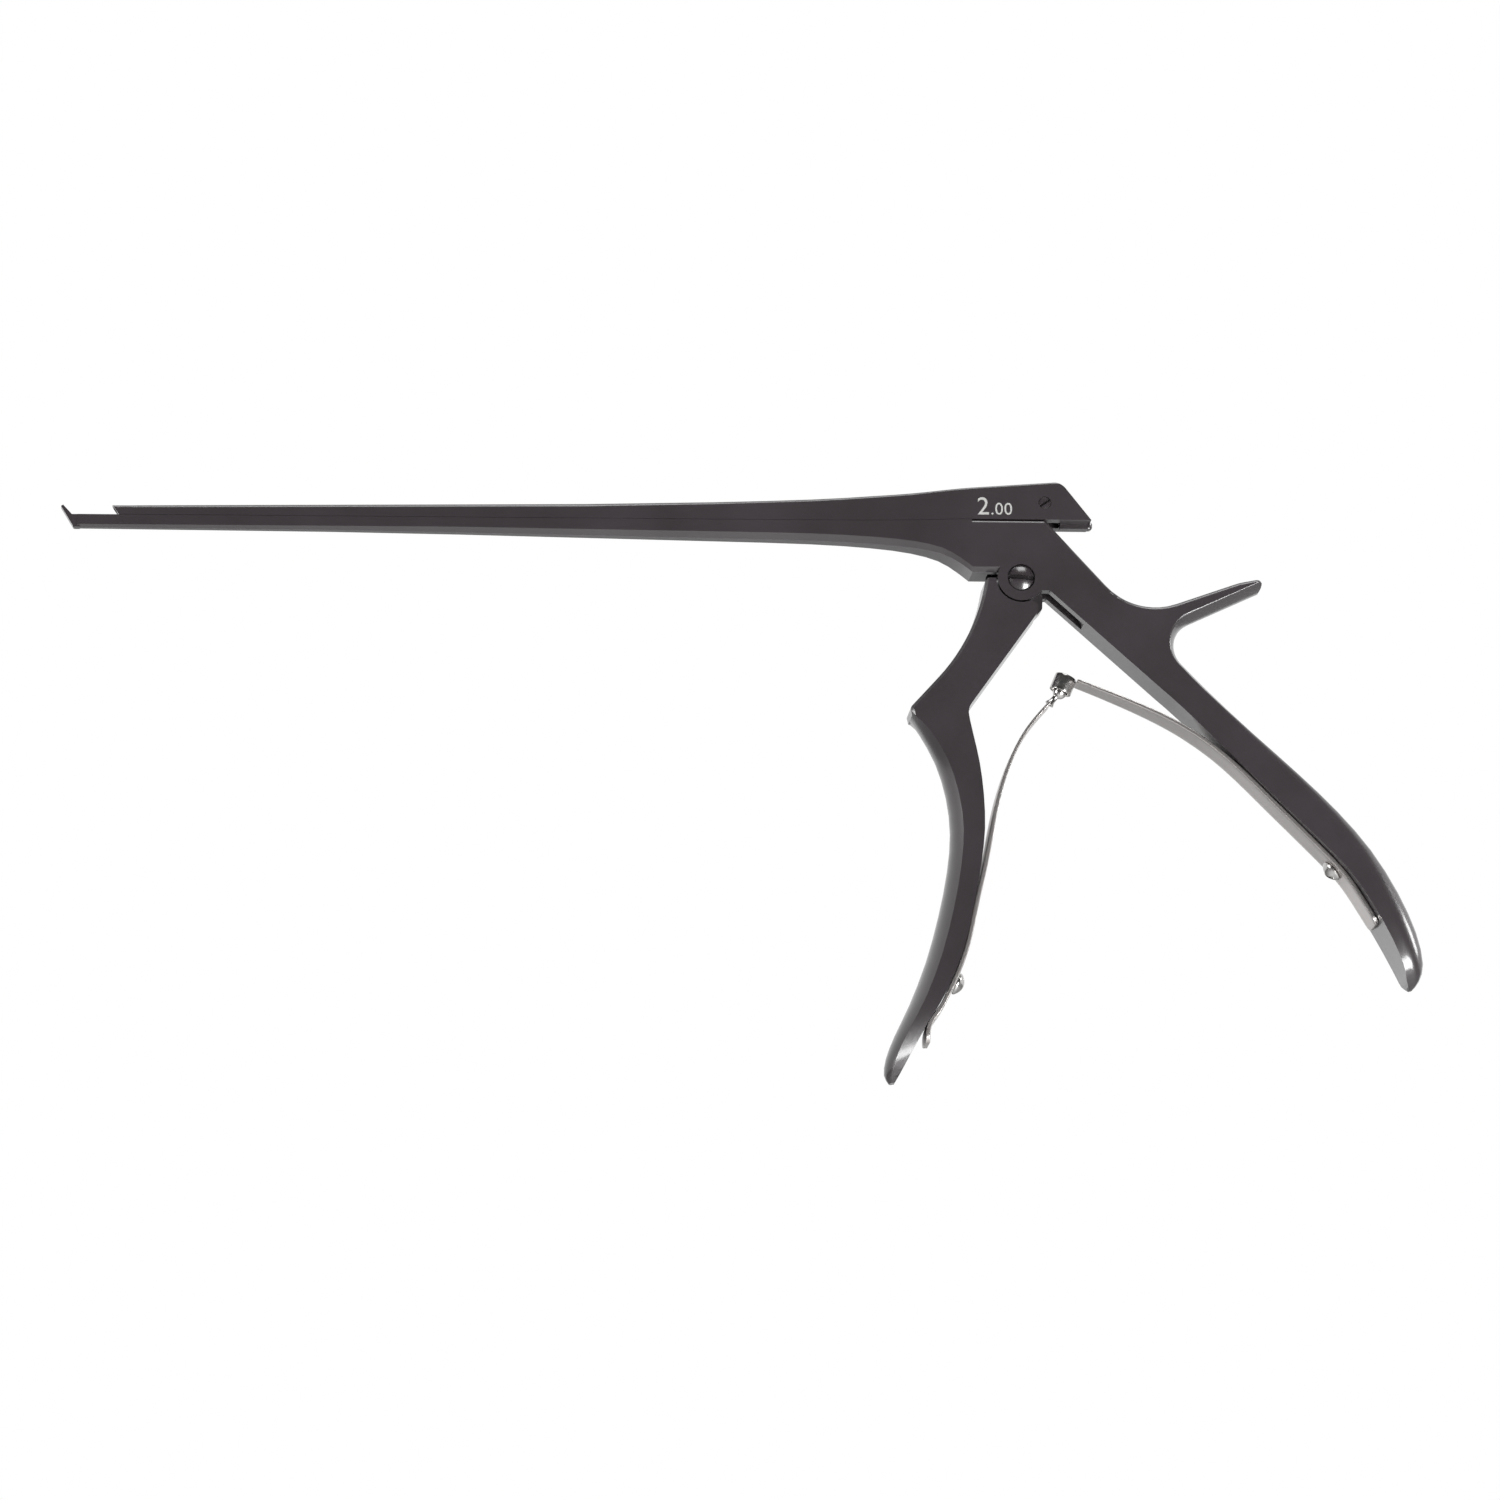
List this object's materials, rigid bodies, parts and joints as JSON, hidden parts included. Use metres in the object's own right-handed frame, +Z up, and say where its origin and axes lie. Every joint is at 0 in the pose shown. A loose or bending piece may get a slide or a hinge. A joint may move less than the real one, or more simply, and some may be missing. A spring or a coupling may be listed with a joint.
{
  "type": "bone rongeur",
  "caption": "Black-coated Kerrison-style bone rongeur with a sliding upper shaft, two handles and leaf springs.",
  "frame": {"origin": "lowest point of the palm saddle of the rear handle, on the middle plane", "axes": "+X along the shafts away from the foot plate, +Z up out of the saddle, -Y is the side of the screw heads"},
  "size_m": [0.2649, 0.0136, 0.1193],
  "materials": {
    "black_coated_steel": "satin",
    "spring_steel": "satin",
    "polished_steel": "polished",
    "black_screw": "satin"
  },
  "bodies": {
    "frame": {"fixed_shaft_frame": "black_coated_steel", "pivot_screw": "black_screw", "rear_leaf_spring": "spring_steel", "rear_spring_screw": "polished_steel"},
    "front_handle": {"front_handle": "black_coated_steel", "front_leaf_spring": "spring_steel", "front_spring_screw": "polished_steel"},
    "upper_shaft": {"sliding_shaft": "black_coated_steel", "link_screw": "black_screw"},
    "ball_tip": {"spring_ball_stud": "polished_steel"},
    "cup_tip": {"spring_socket_cup": "polished_steel"}
  },
  "joints": [
    {"name": "handle_hinge", "type": "hinge", "parent": "frame", "child": "front_handle", "pos_m": [-0.02623, 0, 0.0056], "axis": [0, -1, 0], "range_deg": [0, 33.4], "stiffness_Nm_per_rad": 1.2, "springref_deg": -20.05},
    {"name": "upper_shaft_slide", "type": "slide", "parent": "frame", "child": "upper_shaft", "axis": [-1, 0, 0], "range_m": [0, 0.00905]},
    {"name": "ball_tip_bend", "type": "hinge", "parent": "front_handle", "child": "ball_tip", "pos_m": [-0.02172, 0, -0.05699], "axis": [0, -1, 0], "range_deg": [0, 9.9], "deforming": ["front_leaf_spring"]},
    {"name": "cup_tip_bend", "type": "hinge", "parent": "frame", "child": "cup_tip", "pos_m": [0.00186, 0, -0.03674], "axis": [0, -1, 0], "range_deg": [-13.1, 0], "deforming": ["rear_leaf_spring"]}
  ],
  "couplings": [
    {"joint": "upper_shaft_slide", "follows": "handle_hinge", "m_per_rad": 0.01552},
    {"joint": "ball_tip_bend", "follows": "handle_hinge", "ratio": 0.295},
    {"joint": "cup_tip_bend", "follows": "handle_hinge", "ratio": -0.39}
  ]
}
